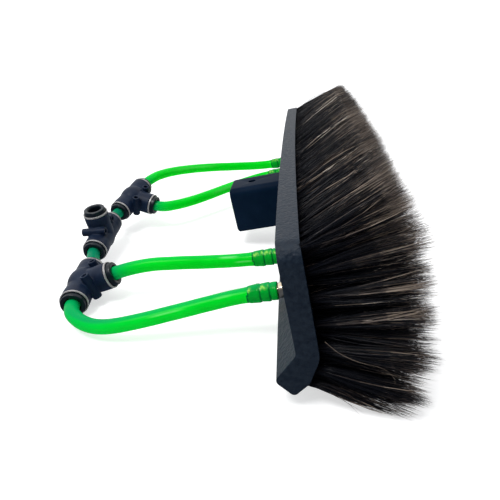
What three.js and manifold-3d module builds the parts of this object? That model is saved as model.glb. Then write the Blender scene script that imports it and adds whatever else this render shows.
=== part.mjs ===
// Water-fed window brush head: folded brush block with bristles, square pole
// socket, four barbed jets and a manifold of three push-fit tees.
// Millimetres, +Z up. The head is built in its own frame (x along the block,
// y out of the back of the block, z up the block) and then leant back as it
// rests on its lower bristles and its right-hand tee.
import * as THREE from 'three';
import { mergeVertices } from 'three/addons/utils/BufferGeometryUtils.js';
import Module from 'manifold-3d';

// ---------- driving dimensions ----------
const LEAN = 12.795;               // degrees the block leans back at rest
const CENTRE_Y = -32.936;              // moves the whole head so its box is centred
const FLOOR_Z = 75.084;            // height of the head frame above the floor

const FAR_REACH = 0.10;            // bristles stand this much longer at the left end
const FAR_DROP = 9;                // and their top rows lie this much lower there

const BLOCK_LENGTH = 356;
const BLOCK_THICK = 9.4;
const BLOCK_BOW = 1.8;             // the block bows backwards at mid-length
const BEND_Z = -48.3;              // inner bend between plate and lower flange
const FLANGE_IN = [11.7, -60.9];   // (y, z) towards which the flange's back edge is rounded
const FLANGE_OUT = [4.1, -70.3];   // (y, z) towards which its lower tip is rounded
const TOP_CORNER_R = 8;
const LOW_CORNER_R = 2;

const SOCKET_W = 31;
const SOCKET_H = 33;
const SOCKET_TOP = -22.5;
const SOCKET_END_Y = 45;
const SOCKET_WALL = 3.3;
const SOCKET_BASE = 5;
const SOCKET_TOP_R = 5.0;          // edge rounding of the socket's upper and lower pairs
const SOCKET_LOW_R = 2.6;
const CATCH_HOLE_D = 5.6;
const CATCH_HOLE_Y = 28.6;

const SCREW_D = 4;
const SCREW_HEAD_D = 7.6;
const SCREW_HEAD_H = 2.5;
const SCREW_SEAT = 2.0;            // socket floor left under each sunk screw head
const SCREW_Z = [-31.6, -43.4];

const JET_X = { right_outer: -129.5, right_inner: -89, left_inner: 89, left_outer: 129.5 };
const JET_Z = -44.6;
const JET_HOLE_R = 3.5;

const TUBE_R = 4;                  // 8 mm outside diameter
const TUBE_IN_R = 2.7;
const TUBE_SWELL = 0.8;            // over the barb
const TUBE_SIDES = 8;
const TUBE_END_Y = 7.6;            // where the tube stops on the jet, out from the block
const SWELL_FROM_Y = 26.5;

const PORT_LEN = 21.6;             // tee centre to the collet's outer face
const BARREL_R = 8.1;
const WAIST_R = 7.9;
const BODY_FACE = 17.6;            // tee centre to the body's end face
const COLLET_R = 7.1;
const COLLET_TRAVEL = 1.2;
const TUBE_STOP = 5.0;
const BOSS = { x: 8.2, z: 8.3, r: 2.7, hole: 1.5, from: -6.9, to: 9.2 };  // screw bosses in the tee's two corners
const DOME = { rx: 12.0, ry: 9.8, rz: 9.4, z: 0.8 };                       // moulded dome on one side of the tee

const GAP = 0.3;

// tee centres and axes in the head frame
const TEES = {
  right_tee: { at: [-101.17, 126.45, -38.95], run: [0.9905, 0.1109, 0.0811], branch: [0.0969, -0.9823, 0.1602], ports: { outer: '-', link: '+', branch: 'b' } },
  inlet_tee: { at: [-43.29, 134.28, -30.39], run: [0.9848, 0.0134, 0.173], branch: [-0.1707, -0.1028, 0.9799], ports: { right: '-', left: '+', inlet: 'b' } },
  left_tee: { at: [14.0, 130.04, -23.06], run: [0.9487, -0.2537, 0.1886], branch: [-0.164, -0.905, -0.3925], ports: { link: '-', outer: '+', branch: 'b' } },
};

// free part of each jet tube, from the tee's collet to the barb
const ROUTES = {
  right_outer: ['right_tee', 'outer', [[-129.4, 121.2, -41.7], [-133.9, 116.5, -43.1], [-137.4, 111.0, -44.4], [-139.5, 104.9, -45.5], [-140.4, 98.5, -46.0], [-140.3, 92.1, -46.2], [-139.6, 85.7, -46.2], [-138.6, 79.5, -46.2], [-137.5, 73.2, -46.1], [-136.2, 67.0, -46.0], [-135.0, 60.8, -45.9], [-133.9, 54.6, -45.7], [-132.7, 48.4, -45.5], [-131.7, 42.2, -45.3], [-130.8, 35.9, -45.0], [-130.1, 29.6, -44.8], [-129.7, 23.3, -44.7]]],
  right_inner: ['right_tee', 'branch', [[-98.2, 97.9, -34.7], [-97.4, 91.6, -34.5], [-96.6, 85.2, -34.7], [-95.7, 78.9, -35.4], [-94.9, 72.7, -36.5], [-93.9, 66.5, -37.6], [-93.1, 60.4, -38.8], [-92.1, 54.3, -40.1], [-91.3, 48.2, -41.2], [-90.5, 42.0, -42.3], [-89.9, 35.8, -43.2], [-89.4, 29.6, -43.9], [-89.1, 23.3, -44.4]]],
  left_outer: ['left_tee', 'outer', [[41.8, 122.3, -18.0], [48.3, 120.1, -17.8], [54.7, 117.8, -18.0], [61.0, 115.3, -18.8], [67.0, 112.5, -19.7], [72.9, 109.7, -20.9], [78.6, 106.6, -22.2], [84.1, 103.3, -23.6], [89.3, 99.7, -25.1], [94.4, 95.8, -26.6], [99.2, 91.7, -28.2], [103.7, 87.3, -29.8], [107.9, 82.5, -31.4], [111.8, 77.5, -33.1], [115.3, 72.3, -34.7], [118.4, 66.8, -36.4], [121.2, 61.1, -37.9], [123.5, 55.1, -39.4], [125.4, 49.1, -40.8], [127.0, 42.8, -42.1], [128.1, 36.5, -43.1], [128.9, 30.0, -43.9], [129.4, 23.5, -44.4]]],
  left_inner: ['left_tee', 'branch', [[11.7, 103.4, -33.9], [15.8, 98.1, -35.3], [20.6, 93.5, -36.6], [25.9, 89.3, -37.7], [31.3, 85.3, -38.7], [36.8, 81.5, -39.6], [42.2, 77.6, -40.3], [47.7, 73.8, -41.0], [53.0, 70.0, -41.6], [58.3, 65.9, -42.1], [63.4, 61.7, -42.6], [68.3, 57.2, -43.0], [72.9, 52.5, -43.4], [77.2, 47.4, -43.8], [81.3, 42.2, -44.1], [85.1, 36.5, -44.3], [87.9, 30.4, -44.5], [88.9, 24.2, -44.6]]],
};

// ---------- materials ----------
const finish = {
  block: { color: 0x23262c, roughness: 0.75, metalness: 0 },
  socket: { color: 0x14171d, roughness: 0.45, metalness: 0 },
  bristle: { color: 0x3a2f27, roughness: 0.8, metalness: 0 },
  tube: { color: 0x18b52b, roughness: 0.25, metalness: 0 },
  fitting: { color: 0x15161d, roughness: 0.5, metalness: 0 },
  collet: { color: 0x0f1013, roughness: 0.35, metalness: 0 },
  bezel: { color: 0xa39c94, roughness: 0.4, metalness: 0.6 },
  rubber: { color: 0x161616, roughness: 0.9, metalness: 0 },
  steel: { color: 0xb9bcc0, roughness: 0.3, metalness: 1 },
  nickel: { color: 0xc9c2b2, roughness: 0.25, metalness: 1 },
};

// ---------- helpers ----------
const wasm = await Module();
wasm.setup();

function toSolid(geometry) {
  const g = geometry.index ? geometry.toNonIndexed() : geometry.clone();
  g.deleteAttribute('normal');
  g.deleteAttribute('uv');
  const m = mergeVertices(g, 1e-4);
  return new wasm.Manifold(new wasm.Mesh({
    numProp: 3,
    vertProperties: new Float32Array(m.attributes.position.array),
    triVerts: new Uint32Array(m.index.array),
  }));
}

function toGeometry(solid) {
  const mesh = solid.getMesh();
  const p = new Float32Array(mesh.numVert * 3);
  for (let i = 0; i < mesh.numVert; i++) {
    for (let k = 0; k < 3; k++) p[3 * i + k] = mesh.vertProperties[i * mesh.numProp + k];
  }
  const g = new THREE.BufferGeometry();
  g.setAttribute('position', new THREE.BufferAttribute(p, 3));
  g.setIndex(new THREE.BufferAttribute(new Uint32Array(mesh.triVerts), 1));
  g.computeVertexNormals();
  return g;
}

const join = (...parts) => parts.reduce((a, b) => a.add(b));

// closed ring or stepped turning about the local Y axis; profile is [r, y] pairs
function turned(profile, sides) {
  return new THREE.LatheGeometry(profile.map(([r, y]) => new THREE.Vector2(r, y)), sides);
}

// same, but with its axis laid along +Z
function turnedZ(profile, sides) {
  return turned(profile, sides).rotateX(Math.PI / 2);
}

// outline given in (a, b), extruded along +c, then placed with the given basis
function slab(shape, depth, steps = 1) {
  return new THREE.ExtrudeGeometry(shape, { depth, steps, bevelEnabled: false, curveSegments: 4 });
}

function roundedRect(w, h, r, top = r) {
  const s = new THREE.Shape();
  s.moveTo(-w / 2 + r, -h / 2);
  s.lineTo(w / 2 - r, -h / 2);
  s.absarc(w / 2 - r, -h / 2 + r, r, -Math.PI / 2, 0, false);
  s.lineTo(w / 2, h / 2 - top);
  s.absarc(w / 2 - top, h / 2 - top, top, 0, Math.PI / 2, false);
  s.lineTo(-w / 2 + top, h / 2);
  s.absarc(-w / 2 + top, h / 2 - top, top, Math.PI / 2, Math.PI, false);
  s.lineTo(-w / 2, -h / 2 + r);
  s.absarc(-w / 2 + r, -h / 2 + r, r, Math.PI, 1.5 * Math.PI, false);
  return s;
}

const head = new THREE.Group();
function put(parent, name, geometry, look) {
  const mesh = new THREE.Mesh(geometry, new THREE.MeshStandardMaterial(finish[look]));
  mesh.name = name;
  parent.add(mesh);
  return mesh;
}

const bow = (x) => BLOCK_BOW * (1 - (x / (BLOCK_LENGTH / 2)) ** 2);

// ---------- brush block ----------
// profile in (y, z), drawn on a shape as (z, y) so that the extrusion runs along x
function blockProfile(grow = 0) {
  const t = BLOCK_THICK;
  const s = new THREE.Shape();
  const c = 0.9;                                        // edge break along the top
  s.moveTo(-c, 0 + grow);
  s.lineTo(BEND_Z + 2, 0 + grow);
  s.quadraticCurveTo(BEND_Z, 0 + grow, BEND_Z - 1.5, 1.4 + grow);
  s.lineTo(FLANGE_IN[1] + 2.3, FLANGE_IN[0] - 2.2 + grow);
  s.quadraticCurveTo(FLANGE_IN[1], FLANGE_IN[0], FLANGE_IN[1] - 2.8, FLANGE_IN[0] - 2.8);
  s.lineTo(FLANGE_OUT[1] + 2.7, FLANGE_OUT[0] + 1.7);
  s.quadraticCurveTo(FLANGE_OUT[1], FLANGE_OUT[0], FLANGE_OUT[1] + 2.3, FLANGE_OUT[0] - 2.1);
  s.lineTo(-64.8, -2.2);
  s.quadraticCurveTo(-63.7, -3.6, -61.5, -4.5);
  s.lineTo(-56.6, -6.9);
  s.quadraticCurveTo(-52.6, -t, -48.6, -t);
  s.lineTo(-c, -t);
  s.lineTo(0, -t + c);
  s.lineTo(0, -c + grow);
  s.closePath();
  return s;
}

function alongX(shape, length, steps) {
  // shape (a, b) -> (z, y); extrusion -> x
  const g = slab(shape, length, steps);
  const p = g.attributes.position;
  for (let i = 0; i < p.count; i++) {
    const a = p.getX(i), b = p.getY(i), c = p.getZ(i);
    p.setXYZ(i, c - length / 2, b, a);
  }
  return g;
}

function flip(g) {
  // turns every triangle over, for a mapping that mirrors the shape
  const n = g.index ? g.toNonIndexed() : g;
  const p = n.attributes.position;
  for (let i = 0; i < p.count; i += 3) {
    const x = p.getX(i + 1), y = p.getY(i + 1), z = p.getZ(i + 1);
    p.setXYZ(i + 1, p.getX(i + 2), p.getY(i + 2), p.getZ(i + 2));
    p.setXYZ(i + 2, x, y, z);
  }
  return n;
}

function volume(g) {
  const n = g.index ? g.toNonIndexed() : g;
  const p = n.attributes.position;
  const a = new THREE.Vector3(), b = new THREE.Vector3(), c = new THREE.Vector3();
  let v = 0;
  for (let i = 0; i < p.count; i += 3) {
    a.fromBufferAttribute(p, i); b.fromBufferAttribute(p, i + 1); c.fromBufferAttribute(p, i + 2);
    v += a.dot(b.cross(c)) / 6;
  }
  return v;
}

const outward = (g) => (volume(g) < 0 ? flip(g) : g);

function bend(g) {
  const p = g.attributes.position;
  for (let i = 0; i < p.count; i++) p.setY(i, p.getY(i) + bow(p.getX(i)));
  return g;
}

{
  const body = toSolid(outward(bend(alongX(blockProfile(), BLOCK_LENGTH, 14))));
  const outline = new THREE.Shape();
  const hx = BLOCK_LENGTH / 2, r = TOP_CORNER_R, q = LOW_CORNER_R, low = -70;
  outline.moveTo(-hx + q, low);
  outline.lineTo(hx - q, low);
  outline.absarc(hx - q, low + q, q, -Math.PI / 2, 0, false);
  outline.lineTo(hx, 0.01 - r);
  outline.absarc(hx - r, 0.01 - r, r, 0, Math.PI / 2, false);
  outline.lineTo(-hx + r, 0.01);
  outline.absarc(-hx + r, 0.01 - r, r, Math.PI / 2, Math.PI, false);
  outline.lineTo(-hx, low + q);
  outline.absarc(-hx + q, low + q, q, Math.PI, 1.5 * Math.PI, false);
  const plan = toSolid(slab(outline, 60).rotateX(Math.PI / 2).translate(0, 30, 0));
  let block = body.intersect(plan);
  for (const x of Object.values(JET_X)) {
    block = block.subtract(toSolid(new THREE.CylinderGeometry(JET_HOLE_R, JET_HOLE_R, 40, 16).translate(x, 0, JET_Z)));
  }
  for (const z of SCREW_Z) {
    block = block.subtract(toSolid(new THREE.CylinderGeometry(SCREW_D / 2 + 0.35, SCREW_D / 2 + 0.35, 14, 12).translate(0, 1.5, z)));
  }
  put(head, 'brush_block', toGeometry(block), 'block');
}

// ---------- bristles: soft solids of their outer shape ----------
// (y, z) outlines; y is negative in front of the block
{
  const rows = {
    bristles_upper_rows: { base: [[-9.7, -1.6], [-9.7, -15.5]], tips: [[-54.6, -1.5], [-50.5, 17.0]] },
    bristles_middle_rows: { base: [[-9.7, -16.0], [-9.7, -45.0]], tips: [[-56.0, -46.5], [-56.4, -30.0], [-54.8, -2.4]] },
    bristles_lower_rows: { base: [[-9.85, -49.3], [-8.7, -54.1], [-7.4, -56.7], [-5.05, -61.7], [-2.7, -65.2], [1.0, -68.0]], tips: [[-14.6, -75.0], [-27.6, -83.0], [-42.8, -86.6], [-50.0, -73.0], [-55.8, -47.4]] },
  };
  for (const [name, { base, tips }] of Object.entries(rows)) {
    const ring = [...base, ...tips];
    const s = new THREE.Shape(ring.map(([y, z]) => new THREE.Vector2(z, y)));
    const g = outward(alongX(s, 346, 6));
    const p = g.attributes.position;
    for (let i = 0; i < p.count; i++) {
      // the tips fan out a little at both ends and follow the block's bow
      const x = p.getX(i), y = p.getY(i), z = p.getZ(i);
      const reach = Math.min(1, Math.max(0, (-y - 9.7) / 45));
      const w = Math.min(1, Math.max(0, (x - 60) / 113));
      const upper = Math.min(1, Math.max(0, (z + 40) / 50));
      p.setX(i, x * (1 + 0.035 * reach));
      p.setY(i, y + bow(x) - FAR_REACH * 45 * reach * (x + 173) / 346);
      p.setZ(i, z - FAR_DROP * reach * upper * w * w * (3 - 2 * w));
    }
    put(head, name, g, 'bristle');
  }
}

// ---------- pole socket and its screws ----------
{
  const y0 = bow(0) + GAP;
  const depth = SOCKET_END_Y - y0;
  const cz = SOCKET_TOP - SOCKET_H / 2;
  const lay = (shape, from, to) => toSolid(outward(slab(shape, to - from).rotateX(Math.PI / 2).translate(0, to, cz)));
  let s = lay(roundedRect(SOCKET_W, SOCKET_H, SOCKET_LOW_R, SOCKET_TOP_R), y0, SOCKET_END_Y);
  s = s.subtract(lay(roundedRect(SOCKET_W - 2 * SOCKET_WALL, SOCKET_H - 2 * SOCKET_WALL, 1.2), y0 + SOCKET_BASE, SOCKET_END_Y + 5));
  for (const z of SCREW_Z) {
    s = s.subtract(toSolid(new THREE.CylinderGeometry(SCREW_D / 2 + 0.35, SCREW_D / 2 + 0.35, 16, 12).translate(0, y0 + 2, z)));
    s = s.subtract(toSolid(new THREE.CylinderGeometry(SCREW_HEAD_D / 2 + 0.4, SCREW_HEAD_D / 2 + 0.4, 10, 16).translate(0, y0 + SCREW_SEAT + 5, z)));
  }
  s = s.subtract(toSolid(new THREE.CylinderGeometry(CATCH_HOLE_D / 2, CATCH_HOLE_D / 2, 12, 16).rotateX(Math.PI / 2).translate(0, CATCH_HOLE_Y, SOCKET_TOP)));
  // the base is relieved to sit over the lower flange
  const relief = new THREE.Shape([[BEND_Z + 1.2, -5], [BEND_Z + 1.2, y0 + 0.05], [BEND_Z - 1.2, y0 + 2.0], [-60, 13.4], [-75, 13.4], [-75, -5]].map(([z, y]) => new THREE.Vector2(z, y)));
  s = s.subtract(toSolid(outward(alongX(relief, 60, 1))));
  put(head, 'pole_socket', toGeometry(s), 'socket');

  const headY = y0 + SCREW_SEAT + GAP;
  const names = ['socket_screw_upper', 'socket_screw_lower'];
  SCREW_Z.forEach((z, i) => {
    const r = SCREW_D / 2, R = SCREW_HEAD_D / 2;
    let screw = toSolid(turned([[0, headY + SCREW_HEAD_H], [R - 1.3, headY + SCREW_HEAD_H], [R, headY + 1.3], [R, headY], [r, headY], [r, -4.2], [0.3, -5.2], [0, -5.2]].reverse(), 16));
    for (const [w, d] of [[4.4, 0.9], [0.9, 4.4]]) {
      screw = screw.subtract(toSolid(new THREE.BoxGeometry(w, 2.6, d).translate(0, headY + SCREW_HEAD_H, 0)));
    }
    put(head, names[i], toGeometry(screw).translate(0, 0, z), 'steel');
  });
}

// ---------- jets ----------
for (const [key, x] of Object.entries(JET_X)) {
  const profile = [
    [0.6, -9.2], [3.1, -9.2], [3.15, 0.3], [3.35, 0.35], [4.0, 1.1], [4.0, 6.9], [3.7, 7.2], [2.3, 7.2], [2.3, 11.2],
    [3.0, 11.6], [2.3, 16.8], [3.0, 17.2], [2.2, 23.4], [1.3, 23.4], [1.3, -6.5], [0.6, -7.4], [0.6, -9.2],
  ];
  put(head, `jet_${key}`, outward(turned(profile, 12)).translate(x, bow(x), JET_Z), 'nickel');
}

// ---------- push-fit tees ----------
// tee frame: run along x, branch along +z
const portSolid = (profile, sides) => outward(turnedZ(profile, sides));

function teeBody() {
  const barrel = (from) => turnedZ([[0, from], [WAIST_R, from], [WAIST_R, 10.8], [BARREL_R, 12.0], [BARREL_R, BODY_FACE - 0.4], [BARREL_R - 0.4, BODY_FACE], [0, BODY_FACE]], 16);
  const up = toSolid(outward(barrel(0)));
  const right = toSolid(outward(barrel(-0.01))).rotate([0, 90, 0]);
  const left = toSolid(outward(barrel(-0.01))).rotate([0, -90, 0]);
  // a flat web fills both corners and carries the two screw bosses
  const web = new THREE.Shape([[-10.4, 0], [10.4, 0], [10.4, 8.4], [8.4, 10.6], [-8.4, 10.6], [-10.4, 8.4]].map(([x, z]) => new THREE.Vector2(x, z)));
  const webs = toSolid(slab(web, 4.4).rotateX(Math.PI / 2).translate(0, 2.2, 0));
  const pin = (r, from, to) => (x) => toSolid(new THREE.CylinderGeometry(r, r, to - from, 14).translate(x, (from + to) / 2, BOSS.z));
  const bosses = [-BOSS.x, BOSS.x].map(pin(BOSS.r, BOSS.from, BOSS.to));
  const ball = toSolid(new THREE.SphereGeometry(1, 18, 12).scale(DOME.rx, DOME.ry, DOME.rz).translate(0, 0, DOME.z));
  const dome = ball.intersect(toSolid(new THREE.BoxGeometry(40, 20, 40).translate(0, 4.5, 0)));
  let body = join(up, right, left, webs, dome, ...bosses);
  for (const hole of [-BOSS.x, BOSS.x].map(pin(BOSS.hole, -15, 15))) body = body.subtract(hole);
  const bore = [[0, -0.02], [2.8, -0.02], [2.8, TUBE_STOP], [4.3, TUBE_STOP], [4.3, 7.0], [5.6, 7.0], [5.6, 14.9], [COLLET_R + 0.3, 14.9], [COLLET_R + 0.3, BODY_FACE + 1], [0, BODY_FACE + 1]];
  for (const turn of [[0, 0, 0], [0, 90, 0], [0, -90, 0]]) {
    body = body.subtract(toSolid(outward(turnedZ(bore, 16))).rotate(turn));
  }
  return toGeometry(body);
}

const colletProfile = [[4.3, 11.2], [5.2, 11.2], [5.2, 16.3], [COLLET_R, 16.3], [COLLET_R, PORT_LEN - 0.6], [COLLET_R - 0.5, PORT_LEN], [5.1, PORT_LEN], [4.3, PORT_LEN - 1.2], [4.3, 11.2]];
const bezelProfile = [[7.48, 17.9], [8.1, 17.9], [8.1, 18.5], [7.9, 18.7], [7.48, 18.7], [7.48, 17.9]];
const oRingProfile = [[4.4, 7.7], [4.85, 7.3], [5.3, 7.7], [5.3, 8.3], [4.85, 8.7], [4.4, 8.3], [4.4, 7.7]];
const grabProfile = [[4.4, 9.55], [5.2, 9.15], [5.2, 9.45], [4.45, 9.85], [4.4, 9.55]];

const up = new THREE.Vector3(0, 0, 1);
const ports = {};                 // 'tee port' -> { at, dir }
for (const [tee, { at, run, branch, ports: names }] of Object.entries(TEES)) {
  const X = new THREE.Vector3(...run).normalize();
  const Zr = new THREE.Vector3(...branch);
  const Z = Zr.clone().addScaledVector(X, -Zr.dot(X)).normalize();
  const Y = new THREE.Vector3().crossVectors(Z, X);
  const group = new THREE.Group();
  group.position.set(...at);
  group.quaternion.setFromRotationMatrix(new THREE.Matrix4().makeBasis(X, Y, Z));
  head.add(group);
  put(group, `${tee}_body`, teeBody(), 'fitting');
  for (const [port, way] of Object.entries(names)) {
    const dir = way === 'b' ? Z.clone() : X.clone().multiplyScalar(way === '+' ? 1 : -1);
    ports[`${tee} ${port}`] = { at: new THREE.Vector3(...at), dir };
    const turn = new THREE.Group();
    if (way !== 'b') turn.rotation.y = way === '+' ? Math.PI / 2 : -Math.PI / 2;
    group.add(turn);
    put(turn, `${tee}_${port}_collet`, portSolid(colletProfile, 16), 'collet');
    put(turn, `${tee}_${port}_bezel`, portSolid(bezelProfile, 16), 'bezel');
    put(turn, `${tee}_${port}_o_ring`, portSolid(oRingProfile, 12), 'rubber');
    put(turn, `${tee}_${port}_grab_ring`, portSolid(grabProfile, 12), 'steel');
  }
}

// ---------- tubes ----------
function tubeShape() {
  const s = new THREE.Shape();
  const h = new THREE.Path();
  for (let i = 0; i <= TUBE_SIDES; i++) {
    const a = (2 * Math.PI * i) / TUBE_SIDES;
    const [c, d] = [Math.cos(a), Math.sin(a)];
    if (i === 0) { s.moveTo(TUBE_R * c, TUBE_R * d); h.moveTo(TUBE_IN_R * c, TUBE_IN_R * d); }
    else if (i < TUBE_SIDES) { s.lineTo(TUBE_R * c, TUBE_R * d); h.lineTo(TUBE_IN_R * c, TUBE_IN_R * d); }
  }
  s.closePath();
  h.closePath();
  s.holes.push(h);
  return s;
}

const along = (port, d) => ports[port].at.clone().addScaledVector(ports[port].dir, d);

function tube(points, step) {
  const path = new THREE.CatmullRomCurve3(points, false, 'centripetal');
  path.arcLengthDivisions = 800;
  const steps = Math.max(2, Math.round(path.getLength() / step));
  return { geometry: outward(new THREE.ExtrudeGeometry(tubeShape(), { extrudePath: path, steps, bevelEnabled: false })), length: path.getLength() };
}

const lengths = {};
for (const [key, [tee, port, free]] of Object.entries(ROUTES)) {
  const name = `${tee} ${port}`;
  const x = JET_X[key], b = bow(x);
  const points = [
    ...[TUBE_STOP + GAP, 9, 13, 17, 20, PORT_LEN + 1].map((d) => along(name, d)),
    ...free.map((q) => new THREE.Vector3(...q)),
    ...[17, 13, 10].map((y) => new THREE.Vector3(x, y + b, JET_Z)),
    new THREE.Vector3(x, b + TUBE_END_Y, JET_Z),
  ];
  const t = tube(points, 6.0);
  const p = t.geometry.attributes.position;
  for (let i = 0; i < p.count; i++) {
    const y = p.getY(i) - b;
    const grow = TUBE_SWELL * Math.min(1, Math.max(0, (SWELL_FROM_Y - y) / 3.0));
    if (grow <= 0) continue;
    const dx = p.getX(i) - x, dz = p.getZ(i) - JET_Z, r = Math.hypot(dx, dz);
    p.setX(i, x + dx * (r + grow) / r);
    p.setZ(i, JET_Z + dz * (r + grow) / r);
  }
  lengths[key] = t.length;
  put(head, `jet_tube_${key}`, t.geometry, 'tube');
}
for (const [key, from, to] of [['right', 'right_tee link', 'inlet_tee right'], ['left', 'inlet_tee left', 'left_tee link']]) {
  const points = [...[TUBE_STOP + GAP, 9, 13, 17, 21].map((d) => along(from, d)), ...[21, 17, 13, 9, TUBE_STOP + GAP].map((d) => along(to, d))];
  const t = tube(points, 8.0);
  lengths[`link_${key}`] = t.length;
  put(head, `link_tube_${key}`, t.geometry, 'tube');
}

// ---------- rest position ----------
head.rotation.x = THREE.MathUtils.degToRad(-LEAN);
head.position.set(0, CENTRE_Y, FLOOR_Z);

const assembly = new THREE.Group();
assembly.add(head);
export default assembly;
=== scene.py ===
import math

import bmesh
import bpy
import numpy as np
from mathutils import Matrix, Vector


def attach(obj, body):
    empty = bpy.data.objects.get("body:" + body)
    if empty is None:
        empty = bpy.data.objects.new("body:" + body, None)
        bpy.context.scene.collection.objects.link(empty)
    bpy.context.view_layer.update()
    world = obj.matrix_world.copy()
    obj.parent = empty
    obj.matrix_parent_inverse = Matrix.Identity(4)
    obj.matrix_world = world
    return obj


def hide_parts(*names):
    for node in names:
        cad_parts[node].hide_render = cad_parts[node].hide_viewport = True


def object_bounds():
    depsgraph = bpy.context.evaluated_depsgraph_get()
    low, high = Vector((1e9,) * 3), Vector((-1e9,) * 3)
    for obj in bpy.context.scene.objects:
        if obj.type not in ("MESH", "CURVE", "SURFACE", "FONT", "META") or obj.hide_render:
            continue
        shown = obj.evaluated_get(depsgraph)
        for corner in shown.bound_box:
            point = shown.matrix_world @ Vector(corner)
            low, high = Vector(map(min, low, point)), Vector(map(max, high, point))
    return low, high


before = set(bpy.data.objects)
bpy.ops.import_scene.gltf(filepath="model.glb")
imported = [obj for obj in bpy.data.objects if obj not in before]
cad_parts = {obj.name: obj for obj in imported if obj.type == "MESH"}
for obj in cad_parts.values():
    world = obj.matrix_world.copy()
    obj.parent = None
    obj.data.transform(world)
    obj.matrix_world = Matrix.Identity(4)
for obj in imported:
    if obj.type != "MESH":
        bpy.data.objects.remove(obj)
CAD_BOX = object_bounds()

MM = 0.001
LEAN = math.radians(12.795)
CENTRE_Y = -32.936
FLOOR_Z = 75.084
CO, SI = math.cos(LEAN), math.sin(LEAN)
# head frame (mm: x along the block, y out of its back, z up the plate) -> row frame (m)
HEAD = np.array([[1, 0, 0], [0, CO, SI], [0, -SI, CO]])
HEAD_AT = np.array([0, CENTRE_Y, FLOOR_Z])


def to_row(p):
    return (np.asarray(p, float).reshape(-1, 3) @ HEAD.T + HEAD_AT) * MM


def to_head(p):
    return (np.asarray(p, float).reshape(-1, 3) / MM - HEAD_AT) @ HEAD


# ------------------------------------------------------------------ dimensions
BLOCK_LENGTH, BLOCK_THICK, BLOCK_BOW = 356.0, 9.4, 1.8
HX = BLOCK_LENGTH / 2
JET_X = {"right_outer": -129.5, "right_inner": -89.0, "left_inner": 89.0, "left_outer": 129.5}
JET_Z = -44.6
SCREW_Z = (-31.6, -43.4)
PORT_LEN, BODY_FACE, BARREL_R, WAIST_R = 21.6, 17.6, 8.1, 7.9
FAR_REACH, FAR_DROP = 0.10, 9.0


def bow(x):
    return BLOCK_BOW * (1 - (np.asarray(x) / HX) ** 2)


TEES = {
    "right_tee": ((-101.17, 126.45, -38.95), (0.9905, 0.1109, 0.0811), (0.0969, -0.9823, 0.1602), {"outer": "-", "link": "+", "branch": "b"}),
    "inlet_tee": ((-43.29, 134.28, -30.39), (0.9848, 0.0134, 0.173), (-0.1707, -0.1028, 0.9799), {"right": "-", "left": "+", "inlet": "b"}),
    "left_tee": ((14.0, 130.04, -23.06), (0.9487, -0.2537, 0.1886), (-0.164, -0.905, -0.3925), {"link": "-", "outer": "+", "branch": "b"}),
}
ROUTES = {
    "right_outer": ("right_tee", "outer", [[-129.4, 121.2, -41.7], [-133.9, 116.5, -43.1], [-137.4, 111.0, -44.4], [-139.5, 104.9, -45.5], [-140.4, 98.5, -46.0], [-140.3, 92.1, -46.2], [-139.6, 85.7, -46.2], [-138.6, 79.5, -46.2], [-137.5, 73.2, -46.1], [-136.2, 67.0, -46.0], [-135.0, 60.8, -45.9], [-133.9, 54.6, -45.7], [-132.7, 48.4, -45.5], [-131.7, 42.2, -45.3], [-130.8, 35.9, -45.0], [-130.1, 29.6, -44.8], [-129.7, 23.3, -44.7]]),
    "right_inner": ("right_tee", "branch", [[-98.2, 97.9, -34.7], [-97.4, 91.6, -34.5], [-96.6, 85.2, -34.7], [-95.7, 78.9, -35.4], [-94.9, 72.7, -36.5], [-93.9, 66.5, -37.6], [-93.1, 60.4, -38.8], [-92.1, 54.3, -40.1], [-91.3, 48.2, -41.2], [-90.5, 42.0, -42.3], [-89.9, 35.8, -43.2], [-89.4, 29.6, -43.9], [-89.1, 23.3, -44.4]]),
    "left_outer": ("left_tee", "outer", [[41.8, 122.3, -18.0], [48.3, 120.1, -17.8], [54.7, 117.8, -18.0], [61.0, 115.3, -18.8], [67.0, 112.5, -19.7], [72.9, 109.7, -20.9], [78.6, 106.6, -22.2], [84.1, 103.3, -23.6], [89.3, 99.7, -25.1], [94.4, 95.8, -26.6], [99.2, 91.7, -28.2], [103.7, 87.3, -29.8], [107.9, 82.5, -31.4], [111.8, 77.5, -33.1], [115.3, 72.3, -34.7], [118.4, 66.8, -36.4], [121.2, 61.1, -37.9], [123.5, 55.1, -39.4], [125.4, 49.1, -40.8], [127.0, 42.8, -42.1], [128.1, 36.5, -43.1], [128.9, 30.0, -43.9], [129.4, 23.5, -44.4]]),
    "left_inner": ("left_tee", "branch", [[11.7, 103.4, -33.9], [15.8, 98.1, -35.3], [20.6, 93.5, -36.6], [25.9, 89.3, -37.7], [31.3, 85.3, -38.7], [36.8, 81.5, -39.6], [42.2, 77.6, -40.3], [47.7, 73.8, -41.0], [53.0, 70.0, -41.6], [58.3, 65.9, -42.1], [63.4, 61.7, -42.6], [68.3, 57.2, -43.0], [72.9, 52.5, -43.4], [77.2, 47.4, -43.8], [81.3, 42.2, -44.1], [85.1, 36.5, -44.3], [87.9, 30.4, -44.5], [88.9, 24.2, -44.6]]),
}

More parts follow.
